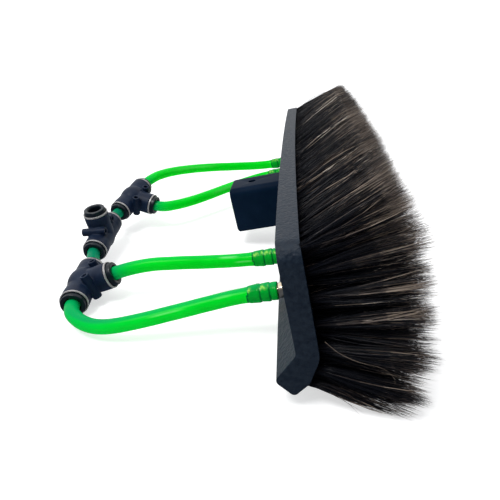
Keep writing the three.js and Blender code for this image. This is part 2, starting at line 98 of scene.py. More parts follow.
# ------------------------------------------------------------------ camera
scene = bpy.context.scene
cam_data = bpy.data.cameras.new("camera")
cam = bpy.data.objects.new("camera", cam_data)
scene.collection.objects.link(cam)
scene.camera = cam
cam_data.sensor_width = 36.0
cam_data.lens = 36.0 * 455.0 / 500.0
cam_data.clip_start, cam_data.clip_end = 0.01, 20.0
c_at = to_row([[-328.3, -19.1, 68.5]])[0]
right = HEAD @ np.array([0.0896, -0.9748, -0.2045])
down = HEAD @ np.array([-0.4260, 0.1481, -0.8925])
forward = np.cross(right, -down)
m = np.eye(4)
x_ax = right / np.linalg.norm(right)
z_ax = np.cross(x_ax, -down); z_ax /= np.linalg.norm(z_ax)
y_ax = np.cross(z_ax, x_ax)
m[:3, 0], m[:3, 1], m[:3, 2], m[:3, 3] = x_ax, y_ax, z_ax, c_at
cam.matrix_world = Matrix([list(map(float, r)) for r in m])


# ------------------------------------------------------------------ materials
def new_material(name, color, rough=0.5, metal=0.0, **sockets):
    mat = bpy.data.materials.new(name)
    mat.use_nodes = True
    b = mat.node_tree.nodes["Principled BSDF"]
    b.inputs["Base Color"].default_value = (*color, 1)
    b.inputs["Roughness"].default_value = rough
    b.inputs["Metallic"].default_value = metal
    for k, v in sockets.items():
        b.inputs[k.replace("_", " ")].default_value = v
    return mat


def add_noise_look(mat, dark, light, scale, rough=(0.5, 0.7), bump=0.2, bump_scale=None, detail=6.0, distance=0.0002, stretch=None, layer=None):
    """Object-space noise drives colour, roughness and bump."""
    nt = mat.node_tree
    b = nt.nodes["Principled BSDF"]
    tc = nt.nodes.new("ShaderNodeTexCoord")
    src = tc.outputs["Object"]
    if stretch:
        mp = nt.nodes.new("ShaderNodeMapping")
        mp.inputs["Scale"].default_value = stretch
        nt.links.new(src, mp.inputs["Vector"])
        src = mp.outputs["Vector"]
    n1 = nt.nodes.new("ShaderNodeTexNoise")
    n1.inputs["Scale"].default_value = scale
    n1.inputs["Detail"].default_value = detail
    n1.inputs["Roughness"].default_value = 0.6
    nt.links.new(src, n1.inputs["Vector"])
    ramp = nt.nodes.new("ShaderNodeValToRGB")
    ramp.color_ramp.elements[0].position = 0.32
    ramp.color_ramp.elements[1].position = 0.7
    ramp.color_ramp.elements[0].color = (*dark, 1)
    ramp.color_ramp.elements[1].color = (*light, 1)
    nt.links.new(n1.outputs["Fac"], ramp.inputs["Fac"])
    nt.links.new(ramp.outputs["Color"], b.inputs["Base Color"])
    mr = nt.nodes.new("ShaderNodeMapRange")
    mr.inputs["To Min"].default_value = rough[0]
    mr.inputs["To Max"].default_value = rough[1]
    nt.links.new(n1.outputs["Fac"], mr.inputs["Value"])
    nt.links.new(mr.outputs["Result"], b.inputs["Roughness"])
    n2 = nt.nodes.new("ShaderNodeTexNoise")
    n2.inputs["Scale"].default_value = bump_scale or scale * 6
    n2.inputs["Detail"].default_value = 3.0
    nt.links.new(src, n2.inputs["Vector"])
    bm = nt.nodes.new("ShaderNodeBump")
    bm.inputs["Strength"].default_value = bump
    bm.inputs["Distance"].default_value = distance
    nt.links.new(n2.outputs["Fac"], bm.inputs["Height"])
    nt.links.new(bm.outputs["Normal"], b.inputs["Normal"])
    return mat


M = {}
M["block"] = add_noise_look(new_material("block_plastic", (0.008, 0.012, 0.018), 0.55, Specular_IOR_Level=0.19), (0.0022, 0.0072, 0.017), (0.0095, 0.0185, 0.031), 420, rough=(0.34, 0.72), bump=0.8, bump_scale=520, distance=0.0007, detail=8.0)
M["socket"] = add_noise_look(new_material("socket_plastic", (0.003, 0.010, 0.024), 0.5, Specular_IOR_Level=0.03), (0.0012, 0.0072, 0.020), (0.0030, 0.0115, 0.029), 60, rough=(0.45, 0.58), bump=0.2, bump_scale=700, distance=0.0002)
M["fitting"] = add_noise_look(new_material("fitting_plastic", (0.003, 0.010, 0.030), 0.5, Specular_IOR_Level=0.20), (0.0014, 0.0066, 0.0235), (0.0042, 0.0150, 0.0400), 120, rough=(0.45, 0.6), bump=0.14, bump_scale=1500, distance=0.00015)
M["collet"] = add_noise_look(new_material("collet_plastic", (0.003, 0.007, 0.012), 0.35, Specular_IOR_Level=0.32), (0.0016, 0.0052, 0.0090), (0.0036, 0.0090, 0.0160), 150, rough=(0.3, 0.42), bump=0.08, bump_scale=1500, distance=0.0001)
M["bezel"] = add_noise_look(new_material("bezel_ring", (0.36, 0.345, 0.345), 0.45, 0.35), (0.26, 0.25, 0.25), (0.44, 0.425, 0.425), 300, rough=(0.34, 0.48), bump=0.1, bump_scale=2500, distance=0.00005)
M["rubber"] = add_noise_look(new_material("o_ring_rubber", (0.012, 0.012, 0.012), 0.75), (0.010, 0.010, 0.010), (0.018, 0.018, 0.018), 400, rough=(0.65, 0.85), bump=0.1, bump_scale=2500, distance=0.00005)
M["steel"] = add_noise_look(new_material("stainless", (0.55, 0.56, 0.58), 0.28, 1.0), (0.48, 0.49, 0.51), (0.62, 0.63, 0.65), 350, rough=(0.22, 0.38), bump=0.08, bump_scale=2500, distance=0.00004)
M["nickel"] = add_noise_look(new_material("nickel_brass", (0.74, 0.62, 0.46), 0.22, 1.0), (0.62, 0.50, 0.36), (0.82, 0.72, 0.58), 260, rough=(0.16, 0.3), bump=0.06, bump_scale=2200, distance=0.00004)


def tube_material(name, low, high, transmission, rough=0.22, painted_shade_color=(0.001, 0.42, 0.105), painted_highlight_color=(0.30, 1.0, 0.34)):
    mat = new_material(name, high, rough, 0.0, Transmission_Weight=transmission, IOR=1.30, Specular_IOR_Level=0.02)
    nt = mat.node_tree
    b = nt.nodes["Principled BSDF"]
    tc = nt.nodes.new("ShaderNodeTexCoord")
    n = nt.nodes.new("ShaderNodeTexNoise")
    n.inputs["Scale"].default_value = 70
    n.inputs["Detail"].default_value = 3
    nt.links.new(tc.outputs["Object"], n.inputs["Vector"])
    r = nt.nodes.new("ShaderNodeValToRGB")
    r.color_ramp.elements[0].position, r.color_ramp.elements[1].position = 0.3, 0.75
    r.color_ramp.elements[0].color = (*low, 1)
    r.color_ramp.elements[1].color = (*high, 1)
    nt.links.new(n.outputs["Fac"], r.inputs["Fac"])
    # painted shade: deeper and bluer where the shade attribute is set, beside the dark fittings and along the tube's
    # upper and lower sides
    at = nt.nodes.new("ShaderNodeAttribute")
    at.attribute_name = "shade"
    mx = nt.nodes.new("ShaderNodeMix")
    mx.data_type = "RGBA"
    nt.links.new(at.outputs["Fac"], mx.inputs["Factor"])
    nt.links.new(r.outputs["Color"], mx.inputs["A"])
    mx.inputs["B"].default_value = (*painted_shade_color, 1)
    # painted highlights: pale streaks and glints, mixed in where the highlight attribute is set
    gl = nt.nodes.new("ShaderNodeAttribute")
    gl.attribute_name = "painted_highlight"
    mg = nt.nodes.new("ShaderNodeMix")
    mg.data_type = "RGBA"
    nt.links.new(gl.outputs["Fac"], mg.inputs["Factor"])
    nt.links.new(mx.outputs["Result"], mg.inputs["A"])
    mg.inputs["B"].default_value = (*painted_highlight_color, 1)
    nt.links.new(mg.outputs["Result"], b.inputs["Base Color"])
    n2 = nt.nodes.new("ShaderNodeTexNoise")
    n2.inputs["Scale"].default_value = 240
    nt.links.new(tc.outputs["Object"], n2.inputs["Vector"])
    bm = nt.nodes.new("ShaderNodeBump")
    bm.inputs["Strength"].default_value = 0.06
    bm.inputs["Distance"].default_value = 0.0002
    nt.links.new(n2.outputs["Fac"], bm.inputs["Height"])
    nt.links.new(bm.outputs["Normal"], b.inputs["Normal"])
    return mat


M["tube"] = tube_material("tube_polyurethane", (0.0, 0.80, 0.012), (0.0, 0.91, 0.018), 0.18)
# link tubes: a darker, bluer painted shade tone
M["tube_link_painted_shade"] = tube_material("tube_link_painted_shade", (0.0, 0.80, 0.022), (0.0, 0.88, 0.030), 0.2, painted_shade_color=(0.003, 0.245, 0.115))
# painted shade over the barb, with painted glints; then the painted dark lines at the barb edges
M["tube_barb"] = tube_material("tube_over_barb_painted_shade", (0.0, 0.34, 0.020), (0.004, 0.50, 0.030), 0.2, 0.16, painted_highlight_color=(0.52, 1.0, 0.16))
M["tube_line"] = tube_material("tube_barb_painted_shade_line", (0.0, 0.125, 0.018), (0.0, 0.19, 0.026), 0.15, 0.2)
HAIR = [
    # black hair; its slight blue is partly a painted cool sheen
    new_material("hair_black", (0.0054, 0.0062, 0.0098), 0.36, Specular_IOR_Level=0.20),
    new_material("hair_dark", (0.0100, 0.0086, 0.0098), 0.36, Specular_IOR_Level=0.28),
    new_material("hair_umber", (0.031, 0.0230, 0.0205), 0.42, Specular_IOR_Level=0.4),
    new_material("hair_brown", (0.098, 0.072, 0.057), 0.42),
    new_material("hair_tan", (0.29, 0.225, 0.172), 0.42),
    new_material("hair_blond", (0.70, 0.61, 0.51), 0.4),
]


# ------------------------------------------------------------------ mesh helpers
def mesh_object(name, verts, faces, mats, smooth=True, face_mats=None):
    me = bpy.data.meshes.new(name)
    me.from_pydata([tuple(v) for v in verts], [], [tuple(f) for f in faces])
    me.update()
    for mt in (mats if isinstance(mats, (list, tuple)) else [mats]):
        me.materials.append(mt)
    if face_mats is not None:
        me.polygons.foreach_set("material_index", np.asarray(face_mats, np.int32))
    me.polygons.foreach_set("use_smooth", np.full(len(me.polygons), smooth))
    ob = bpy.data.objects.new(name, me)
    scene.collection.objects.link(ob)
    return ob


def outward(ob):
    bm = bmesh.new()
    bm.from_mesh(ob.data)
    bmesh.ops.recalc_face_normals(bm, faces=bm.faces)
    bm.to_mesh(ob.data)
    bm.free()
    return ob


def apply_modifiers(ob):
    dg = bpy.context.evaluated_depsgraph_get()
    dg.update()
    me = bpy.data.meshes.new_from_object(ob.evaluated_get(dg), depsgraph=dg)
    old = ob.data
    ob.modifiers.clear()
    ob.data = me
    bpy.data.meshes.remove(old)
    return ob


def smooth_by_angle(ob, degrees=35):
    me = ob.data
    me.polygons.foreach_set("use_smooth", np.full(len(me.polygons), True))
    bm = bmesh.new()
    bm.from_mesh(me)
    lim = math.radians(degrees)
    for e in bm.edges:
        e.smooth = not (len(e.link_faces) == 2 and e.calc_face_angle(0) > lim)
    bm.to_mesh(me)
    bm.free()
    return ob


def boolean(ob, other, op, solver="EXACT"):
    md = ob.modifiers.new("b", "BOOLEAN")
    md.operation = op
    md.object = other
    md.solver = solver
    apply_modifiers(ob)
    bpy.data.objects.remove(other)
    return ob


def lathe(name, profile, segs, mats, basis=None, at=(0, 0, 0), closed=True):
    """profile of (r, h) turned about the h axis; basis columns are (X, Y, H) in head frame, mm."""
    prof = np.array(profile, float)
    n = len(prof)
    a = np.linspace(0, 2 * np.pi, segs, endpoint=False)
    ring = np.stack([np.cos(a), np.sin(a)], 1)
    P = np.zeros((segs, n, 3))
    P[:, :, 0] = ring[:, 0:1] * prof[None, :, 0]
    P[:, :, 1] = ring[:, 1:2] * prof[None, :, 0]
    P[:, :, 2] = prof[None, :, 1]
    V = P.reshape(-1, 3)
    B = np.eye(3) if basis is None else np.asarray(basis, float)
    V = V @ B.T + np.asarray(at, float)
    F = []
    last = n if closed else n - 1
    for i in range(segs):
        j = (i + 1) % segs
        for k in range(last):
            l = (k + 1) % n
            F.append((i * n + k, j * n + k, j * n + l, i * n + l))
    ob = mesh_object(name, to_row(V), F, mats)
    bm = bmesh.new()
    bm.from_mesh(ob.data)
    bmesh.ops.remove_doubles(bm, verts=bm.verts, dist=1e-7)
    bmesh.ops.recalc_face_normals(bm, faces=bm.faces)
    bm.to_mesh(ob.data)
    bm.free()
    return ob


def rounded(profile, radius, steps=3):
    """closed (r, h) profile with its corners rounded"""
    p = [np.array(q, float) for q in profile]
    out = []
    n = len(p)
    for i in range(n):
        a, b, c = p[i - 1], p[i], p[(i + 1) % n]
        r = radius[i] if isinstance(radius, (list, tuple)) else radius
        la, lc = np.linalg.norm(a - b), np.linalg.norm(c - b)
        d = min(r, 0.45 * la, 0.45 * lc)
        if d < 1e-4:
            out.append(b)
            continue
        s, e = b + (a - b) / la * d, b + (c - b) / lc * d
        for t in np.linspace(0, 1, steps + 1):
            out.append((1 - t) ** 2 * s + 2 * t * (1 - t) * b + t ** 2 * e)
    return out


def prism(name, outline, a0, a1, place, mats=None, steps=1):
    """outline (u, w) pairs, extruded from a0 to a1; place(u, w, a) -> head frame mm arrays"""
    o = np.array(outline, float)
    n = len(o)
    V, F = [], []
    al = np.linspace(a0, a1, steps + 1)
    for a in al:
        V.append(place(o[:, 0], o[:, 1], np.full(n, a)))
    V = np.concatenate(V)
    for s in range(steps):
        for i in range(n):
            j = (i + 1) % n
            F.append((s * n + i, s * n + j, (s + 1) * n + j, (s + 1) * n + i))
    F.append(tuple(range(n - 1, -1, -1)))
    F.append(tuple(steps * n + i for i in range(n)))
    ob = mesh_object(name, to_row(V), F, mats or [], smooth=False)
    return outward(ob)


def arc(cx, cy, r, a0, a1, n):
    return [(cx + r * math.cos(a), cy + r * math.sin(a)) for a in np.linspace(math.radians(a0), math.radians(a1), n)]


def quad(p0, p1, p2, n):
    t = np.linspace(0, 1, n)[:, None]
    p0, p1, p2 = map(np.array, (p0, p1, p2))
    return [tuple(q) for q in (1 - t) ** 2 * p0 + 2 * t * (1 - t) * p1 + t ** 2 * p2]


def cylinder_cut(at, r, half, axis="y", segs=32):
    a = np.linspace(0, 2 * np.pi, segs, endpoint=False)
    o = [(r * math.cos(t), r * math.sin(t)) for t in a]
    if axis == "y":
        place = lambda u, w, h: np.stack([u + at[0], h + at[1], w + at[2]], 1)
    else:
        place = lambda u, w, h: np.stack([u + at[0], w + at[1], h + at[2]], 1)
    return prism("cut", o, -half, half, place)


def catmull(points, per=6):
    """centripetal Catmull-Rom through the points"""
    P = np.array(points, float)
    P = np.vstack([2 * P[0] - P[1], P, 2 * P[-1] - P[-2]])
    out = []
    for i in range(1, len(P) - 2):
        p0, p1, p2, p3 = P[i - 1], P[i], P[i + 1], P[i + 2]
        t0 = 0.0
        t1 = t0 + np.sqrt(np.linalg.norm(p1 - p0))
        t2 = t1 + np.sqrt(np.linalg.norm(p2 - p1))
        t3 = t2 + np.sqrt(np.linalg.norm(p3 - p2))
        for t in np.linspace(t1, t2, per, endpoint=False):
            a1 = (t1 - t) / (t1 - t0) * p0 + (t - t0) / (t1 - t0) * p1
            a2 = (t2 - t) / (t2 - t1) * p1 + (t - t1) / (t2 - t1) * p2
            a3 = (t3 - t) / (t3 - t2) * p2 + (t - t2) / (t3 - t2) * p3
            b1 = (t2 - t) / (t2 - t0) * a1 + (t - t0) / (t2 - t0) * a2
            b2 = (t3 - t) / (t3 - t1) * a2 + (t - t1) / (t3 - t1) * a3
            out.append((t2 - t) / (t2 - t1) * b1 + (t - t1) / (t2 - t1) * b2)
    out.append(P[-2])
    return np.array(out)


def resample(X, step):
    d = np.concatenate([[0], np.cumsum(np.linalg.norm(np.diff(X, axis=0), axis=1))])
    n = max(2, int(round(d[-1] / step)))
    t = np.linspace(0, d[-1], n + 1)
    return np.stack([np.interp(t, d, X[:, i]) for i in range(3)], 1), t


# ------------------------------------------------------------------ brush block
def block_profile():
    t = BLOCK_THICK
    # (z, y) pairs, clockwise round the section
    p = [(0.0, 0.0)]
    p += quad((-46.8, 0.0), (-48.6, 0.0), (-49.9, 1.25), 6)
    p += quad((-58.6, 9.5), (-60.9, 11.7), (-63.7, 8.9), 10)
    p += quad((-67.6, 5.8), (-70.3, 4.1), (-68.0, 2.0), 9)
    p += quad((-64.8, -2.2), (-63.7, -3.6), (-61.5, -4.5), 7)
    p += quad((-56.6, -6.9), (-52.6, -t), (-48.6, -t), 10)
    p += [(0.0, -t)]
    return p


def make_block():
    place = lambda u, w, h: np.stack([h, w + bow(h), u], 1)
    ob = prism("brush_block_body", block_profile(), -HX - 3, HX + 3, place, [M["block"]], steps=64)
    outline = []
    r, q, low = 8.0, 2.0, -70.2
    outline += arc(HX - q, low + q, q, -90, 0, 8)
    outline += arc(HX - r, -r, r, 0, 90, 14)
    outline += arc(-HX + r, -r, r, 90, 180, 14)
    outline += arc(-HX + q, low + q, q, 180, 270, 8)
    plan = prism("plan", outline, -30, 30, lambda u, w, h: np.stack([u, h, w], 1))
    boolean(ob, plan, "INTERSECT")
    for x in JET_X.values():
        boolean(ob, cylinder_cut((x, 0, JET_Z), 3.5, 20), "DIFFERENCE")
    for z in SCREW_Z:
        boolean(ob, cylinder_cut((0, 0.0, z), 2.35, 5.4), "DIFFERENCE")
    # clean the coplanar leftovers, then break every hard edge
    bm = bmesh.new()
    bm.from_mesh(ob.data)
    bmesh.ops.remove_doubles(bm, verts=bm.verts, dist=2e-6)
    bmesh.ops.recalc_face_normals(bm, faces=bm.faces)
    bm.to_mesh(ob.data)
    bm.free()
    md = ob.modifiers.new("bevel", "BEVEL")
    md.width = 0.0009
    md.segments = 4
    md.limit_method = "ANGLE"
    md.angle_limit = math.radians(38)
    md.use_clamp_overlap = True
    apply_modifiers(ob)
    smooth_by_angle(ob, 32)
    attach(ob, "brush_head")
    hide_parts("brush_block")
    return ob


make_block()


# ------------------------------------------------------------------ pole socket
def rounded_rect(w, h, r, cx=0.0, cz=0.0, n=6, top=None):
    top = r if top is None else top
    o = []
    o += arc(cx + w / 2 - r, cz - h / 2 + r, r, -90, 0, n)
    o += arc(cx + w / 2 - top, cz + h / 2 - top, top, 0, 90, n)
    o += arc(cx - w / 2 + top, cz + h / 2 - top, top, 90, 180, n)
    o += arc(cx - w / 2 + r, cz - h / 2 + r, r, 180, 270, n)
    return o


def make_socket():
    y0 = 2.1
    cz = -22.5 - 16.5
    xz = lambda u, w, h: np.stack([u, h, w], 1)
    # the outer edge of the mouth is rounded off
    rings, V, F = [(y0, 0.0), (42.7, 0.0), (43.2, 0.06), (43.7, 0.24), (44.2, 0.58), (44.55, 0.96), (44.85, 1.5), (45.0, 2.1)], [], []
    for yy, inset in rings:
        o = np.array(rounded_rect(31 - 2 * inset, 33 - 2 * inset, 1.6, 0, cz, n=12, top=5.0 - 0.5 * inset))
        V.append(xz(o[:, 0], o[:, 1], np.full(len(o), yy)))
    m = len(V[0])
    for i in range(len(rings) - 1):
        for j in range(m):
            k = (j + 1) % m
            F.append((i * m + j, i * m + k, (i + 1) * m + k, (i + 1) * m + j))
    F += [tuple(range(m - 1, -1, -1)), tuple((len(rings) - 1) * m + j for j in range(m))]
    ob = outward(mesh_object("pole_socket_body", to_row(np.concatenate(V)), F, [M["socket"]], smooth=False))
    boolean(ob, prism("cut", rounded_rect(24.4, 26.4, 1.2, 0, cz), y0 + 5, 50, xz), "DIFFERENCE")
    for z in SCREW_Z:
        boolean(ob, cylinder_cut((0, 4.0, z), 2.35, 6), "DIFFERENCE")
        boolean(ob, cylinder_cut((0, y0 + 7.0, z), 4.2, 5), "DIFFERENCE")
    boolean(ob, cylinder_cut((0, 28.6, -22.5), 2.8, 6, axis="z"), "DIFFERENCE")
    relief = [(-47.1, -5), (-47.1, y0 + 0.05), (-49.5, y0 + 2.0), (-60, 13.4), (-75, 13.4), (-75, -5)]
    boolean(ob, prism("cut", relief, -30, 30, lambda u, w, h: np.stack([h, w, u], 1)), "DIFFERENCE")
    bm = bmesh.new()
    bm.from_mesh(ob.data)
    bmesh.ops.remove_doubles(bm, verts=bm.verts, dist=2e-6)
    bm.to_mesh(ob.data)
    bm.free()
    md = ob.modifiers.new("bevel", "BEVEL")
    md.width = 0.0007
    md.segments = 3
    md.limit_method = "ANGLE"
    md.angle_limit = math.radians(40)
    apply_modifiers(ob)
    smooth_by_angle(ob, 32)
    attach(ob, "brush_head")
    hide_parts("pole_socket")


make_socket()


def make_screws():
    head_y = 2.1 + 2.0 + 0.3
    for z, name in zip(SCREW_Z, ("socket_screw_upper", "socket_screw_lower")):
        prof = [(0.001, head_y + 2.5), (2.2, head_y + 2.45), (3.2, head_y + 1.9), (3.8, head_y + 1.0), (3.8, head_y), (2.0, head_y), (2.0, -4.0), (0.4, -5.1), (0.001, -5.1)]
        B = np.array([[1, 0, 0], [0, 0, 1], [0, -1, 0]], float).T   # X, Y, H columns
        B = np.stack([(1, 0, 0), (0, 0, -1), (0, 1, 0)], 1)
        ob = lathe(name + "_body", prof, 40, [M["steel"]], B, (0, 0, z))
        for w, d in ((4.4, 0.9), (0.9, 4.4)):
            o = [(-w / 2, -d / 2), (w / 2, -d / 2), (w / 2, d / 2), (-w / 2, d / 2)]
            boolean(ob, prism("cut", o, head_y + 1.2, head_y + 4, lambda u, v, h: np.stack([u, h, v + z], 1)), "DIFFERENCE")
        smooth_by_angle(ob, 30)
        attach(ob, "brush_head")
        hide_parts(name)


make_screws()


# ------------------------------------------------------------------ jets
def make_jets():
    for key, x in JET_X.items():
        b = float(bow(x))
        prof = [(0.6, -9.2), (2.9, -9.2), (3.15, -8.9), (3.15, 0.35), (3.35, 0.4), (4.0, 1.1), (4.0, 6.8), (3.9, 7.05), (3.6, 7.2), (2.3, 7.2), (2.3, 10.9),
                (2.35, 11.0), (2.95, 11.3), (3.0, 11.5), (2.35, 16.0), (2.95, 16.4), (3.0, 16.6), (2.2, 22.4), (2.0, 22.6), (1.4, 22.6), (1.3, 22.4), (1.3, -6.5), (0.6, -7.4)]
        B = np.stack([(1, 0, 0), (0, 0, -1), (0, 1, 0)], 1)
        ob = lathe(f"jet_{key}_body", prof, 40, [M["nickel"]], B, (x, b, JET_Z))
        smooth_by_angle(ob, 30)
        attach(ob, "brush_head")
        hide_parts(f"jet_{key}")


make_jets()


# ------------------------------------------------------------------ tees
def tee_basis(run, branch):
    X = np.array(run, float); X /= np.linalg.norm(X)
    Z = np.array(branch, float); Z -= X * (Z @ X); Z /= np.linalg.norm(Z)
    Y = np.cross(Z, X)
    return np.stack([X, Y, Z], 1)


def tee_body_template():
    """One moulded tee body in its own frame (metres), run along x, branch along z."""
    global to_row
    keep = to_row
    to_row = lambda p: np.asarray(p, float).reshape(-1, 3) * MM
    try:
        barrel = [(0.001, -1.0), (WAIST_R, -1.0), (WAIST_R, 10.6), (WAIST_R + 0.15, 11.0), (BARREL_R - 0.1, 12.0), (BARREL_R, 12.4), (BARREL_R, BODY_FACE - 0.35), (BARREL_R - 0.35, BODY_FACE), (0.001, BODY_FACE)]
        ez = np.eye(3)
        ex = np.stack([(0, 0, -1), (0, 1, 0), (1, 0, 0)], 1)
        exn = np.stack([(0, 0, 1), (0, 1, 0), (-1, 0, 0)], 1)
        body = lathe("tee_template", barrel, 72, [M["fitting"]], ez)
        for B in (ex, exn):
            boolean(body, lathe("t", barrel, 72, [], B), "UNION")
        web = [(-10.4, 0), (10.4, 0), (10.4, 8.4), (8.4, 10.6), (-8.4, 10.6), (-10.4, 8.4)]
        boolean(body, prism("t", web, -2.2, 2.2, lambda u, w, h: np.stack([u, h, w], 1)), "UNION")
        # moulded dome on the +y side
        ball = bmesh.new()
        bmesh.ops.create_uvsphere(ball, u_segments=64, v_segments=40, radius=1.0)
        me = bpy.data.meshes.new("t")
        for v in ball.verts:
            v.co = Vector((v.co.x * 12.0, v.co.y * 9.8, 0.8 + v.co.z * 9.4)) * MM
        ball.to_mesh(me)
        ball.free()
        dome = bpy.data.objects.new("t", me)
        scene.collection.objects.link(dome)
        cap = [(-20, -20), (20, -20), (20, 20), (-20, 20)]
        boolean(dome, prism("t", cap, -5.5, 14.5, lambda u, w, h: np.stack([u, h, w], 1)), "INTERSECT")
        boolean(body, dome, "UNION")
        # two screw bosses in the corners, with their holes
        for x in (-8.2, 8.2):
            ring = [(2.7 * math.cos(a), 2.7 * math.sin(a)) for a in np.linspace(0, 2 * np.pi, 40, endpoint=False)]
            boolean(body, prism("t", ring, -6.9, 9.2, lambda u, w, h: np.stack([u + x, h, w + 8.3], 1)), "UNION")
        for x in (-8.2, 8.2):
            boolean(body, cylinder_cut((x, 0, 8.3), 1.5, 15), "DIFFERENCE")
        bore = [(0.001, -1.0), (2.8, -1.0), (2.8, 5.0), (4.3, 5.0), (4.3, 7.0), (5.6, 7.0), (5.6, 14.9), (7.4, 14.9), (7.4, BODY_FACE + 1), (0.001, BODY_FACE + 1)]
        for B in (ez, ex, exn):
            boolean(body, lathe("t", bore, 64, [], B), "DIFFERENCE")
        md = body.modifiers.new("r", "REMESH")
        md.mode = "VOXEL"
        md.voxel_size = 0.00030
        md.adaptivity = 0.0
        apply_modifiers(body)
        md = body.modifiers.new("s", "SMOOTH")
        md.factor = 0.5
        md.iterations = 5
        apply_modifiers(body)
        md = body.modifiers.new("d", "DECIMATE")
        md.ratio = 0.35
        apply_modifiers(body)
    finally:
        to_row = keep
    body.data.polygons.foreach_set("use_smooth", np.full(len(body.data.polygons), True))
    return body


def make_tees():
    template = tee_body_template()
    co = np.zeros(len(template.data.vertices) * 3)
    template.data.vertices.foreach_get("co", co)
    co = co.reshape(-1, 3) / MM
    for tee, (at, run, branch, names) in TEES.items():
        B = tee_basis(run, branch)
        me = template.data.copy()
        me.vertices.foreach_set("co", to_row(co @ B.T + np.array(at)).ravel())
        me.update()
        ob = bpy.data.objects.new(f"{tee}_housing", me)
        scene.collection.objects.link(ob)
        me.materials.clear()
        me.materials.append(M["fitting"])
        owner = "inlet_tee" if tee == "inlet_tee" else "brush_head"
        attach(ob, owner)
        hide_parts(f"{tee}_body")
        for port, way in names.items():
            X, Y, Z = B[:, 0], B[:, 1], B[:, 2]
            if way == "b":
                P = np.stack([X, Y, Z], 1)
            elif way == "+":
                P = np.stack([-Z, Y, X], 1)
            else:
                P = np.stack([Z, Y, -X], 1)
            base = f"{tee}_{port}"
            prof = rounded([(4.3, 11.2), (5.2, 11.2), (5.2, 16.3), (7.1, 16.3), (7.1, 19.4), (6.95, PORT_LEN), (5.0, PORT_LEN), (4.3, PORT_LEN - 1.1)], [0.1, 0.1, 0.1, 0.2, 0.5, 0.55, 0.3, 0.3])
            c = lathe(base + "_release", prof, 64, [M["collet"]], P, at)
            smooth_by_angle(c, 40)
            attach(c, base + "_collet"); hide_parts(base + "_collet")
            prof = rounded([(7.48, 17.75), (8.1, 17.75), (8.1, 18.9), (7.48, 18.9)], [0.1, 0.12, 0.3, 0.12])
            c = lathe(base + "_trim", prof, 72, [M["bezel"]], P, at)
            smooth_by_angle(c, 60)
            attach(c, owner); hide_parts(base + "_bezel")
            prof = [(4.85 + 0.44 * math.cos(a), 8.0 + 0.66 * math.sin(a)) for a in np.linspace(0, 2 * np.pi, 12, endpoint=False)]
            c = lathe(base + "_seal", prof, 48, [M["rubber"]], P, at)
            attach(c, owner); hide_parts(base + "_o_ring")
            # toothed washer: a cone with slots between its teeth
            n = 48
            V, F = [], []
            for i in range(n):
                a = 2 * np.pi * i / n
                r_in = 4.42 if (i % 4) in (0, 1) else 4.8
                for r, h in ((r_in, 9.62 - (0.12 if r_in > 4.5 else 0)), (5.2, 9.18), (5.2, 9.42), (r_in, 9.84 - (0.12 if r_in > 4.5 else 0))):
                    V.append((r * math.cos(a), r * math.sin(a), h))
            for i in range(n):
                j = (i + 1) % n
                for k in range(4):
                    l = (k + 1) % 4
                    F.append((i * 4 + k, j * 4 + k, j * 4 + l, i * 4 + l))
            c = outward(mesh_object(base + "_teeth", to_row(np.array(V) @ P.T + np.array(at)), F, [M["steel"]], smooth=False))
            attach(c, owner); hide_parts(base + "_grab_ring")
    bpy.data.objects.remove(template)


make_tees()


# ------------------------------------------------------------------ tubes
def port_axis(tee, port):
    at, run, branch, names = TEES[tee]
    B = tee_basis(run, branch)
    d = B[:, 2] if names[port] == "b" else B[:, 0] * (1 if names[port] == "+" else -1)
    return np.array(at, float), d


def sweep(name, X, radii_out, radii_in, sides, mats):
    """hollow tube along X (n x 3, head mm) with an outer and an inner radius at each point"""
    T = np.gradient(X, axis=0)
    T /= np.linalg.norm(T, axis=1)[:, None]
    N = np.zeros_like(X)
    n0 = np.cross(T[0], [0, 0, 1.0]); n0 /= np.linalg.norm(n0)
    N[0] = n0
    for i in range(1, len(X)):
        v = N[i - 1] - T[i] * (N[i - 1] @ T[i])
        N[i] = v / np.linalg.norm(v)
    Bn = np.cross(T, N)
    a = np.linspace(0, 2 * np.pi, sides, endpoint=False)
    ring = np.cos(a)[None, :, None] * N[:, None, :] + np.sin(a)[None, :, None] * Bn[:, None, :]
    O = X[:, None, :] + ring * np.asarray(radii_out)[:, None, None]
    I = X[:, None, :] + ring * np.asarray(radii_in)[:, None, None]
    n = len(X)
    V = np.concatenate([O.reshape(-1, 3), I.reshape(-1, 3)])
    off = n * sides
    F = []
    for i in range(n - 1):
        for j in range(sides):
            k = (j + 1) % sides
            F.append((i * sides + j, i * sides + k, (i + 1) * sides + k, (i + 1) * sides + j))
            F.append((off + i * sides + k, off + i * sides + j, off + (i + 1) * sides + j, off + (i + 1) * sides + k))
    for j in range(sides):
        k = (j + 1) % sides
        F.append((j, off + j, off + k, k))
        e = (n - 1) * sides
        F.append((e + k, off + e + k, off + e + j, e + j))
    return outward(mesh_object(name, to_row(V), F, mats))


# image-up direction of the main view, in the head frame: the tube side that the painted shade bands darken
TOP_SIDE = np.array([0.426, -0.148, 0.8925])


